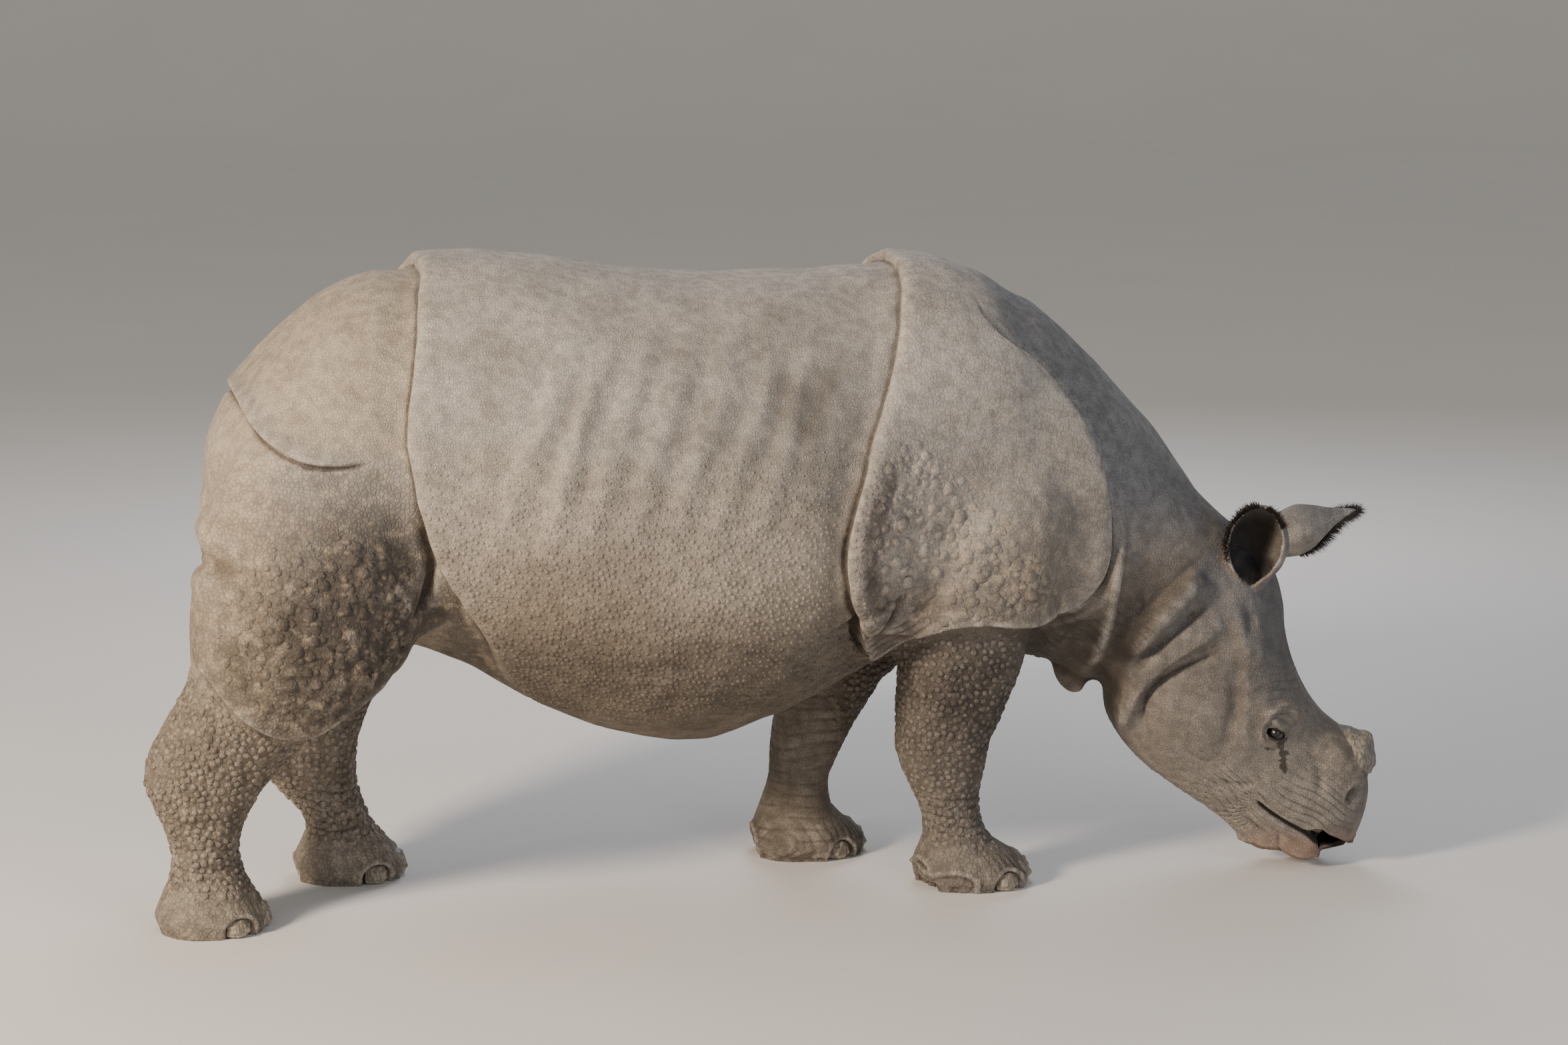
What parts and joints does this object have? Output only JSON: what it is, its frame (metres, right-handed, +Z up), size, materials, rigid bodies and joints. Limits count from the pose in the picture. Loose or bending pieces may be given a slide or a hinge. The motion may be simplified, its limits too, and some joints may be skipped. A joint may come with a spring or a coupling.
{
  "type": "indian rhinoceros",
  "caption": "Life-size still model of a grazing Indian rhinoceros with plated, tubercled hide, a low worn horn and a lowered head.",
  "frame": {"origin": "the floor under the middle of the animal's ground plan", "axes": "+X towards the head, +Y to the animal's left, +Z up"},
  "size_m": [3.1278, 1.0986, 1.6191],
  "materials": {
    "hide": "dry folded hide with tubercles and a dusting of mud",
    "eye": "wet dark brown",
    "horn": "worn fibrous keratin",
    "nail": "dull keratin",
    "hair": "coarse black bristles"
  },
  "bodies": {
    "root": {"barrel": "hide", "shoulders": "hide", "neck": "hide", "head": "hide", "lower_jaw": "hide", "hindquarters": "hide", "thigh_right": "hide", "thigh_left": "hide", "hindleg_right": "hide", "hindleg_left": "hide", "foreleg_right": "hide", "foreleg_left": "hide", "forefoot_right": "hide", "forefoot_left": "hide", "hindfoot_right": "hide", "hindfoot_left": "hide", "ear_right": "hide", "ear_left": "hide", "tail": "hide", "eye_right": "eye", "eye_left": "eye", "horn": "horn", "tail_tuft": "hair", "forefoot_right_nail_outer": "nail", "forefoot_right_nail_middle": "nail", "forefoot_right_nail_inner": "nail", "forefoot_left_nail_outer": "nail", "forefoot_left_nail_middle": "nail", "forefoot_left_nail_inner": "nail", "hindfoot_right_nail_outer": "nail", "hindfoot_right_nail_middle": "nail", "hindfoot_right_nail_inner": "nail", "hindfoot_left_nail_outer": "nail", "hindfoot_left_nail_middle": "nail", "hindfoot_left_nail_inner": "nail"}
  },
  "joints": []
}
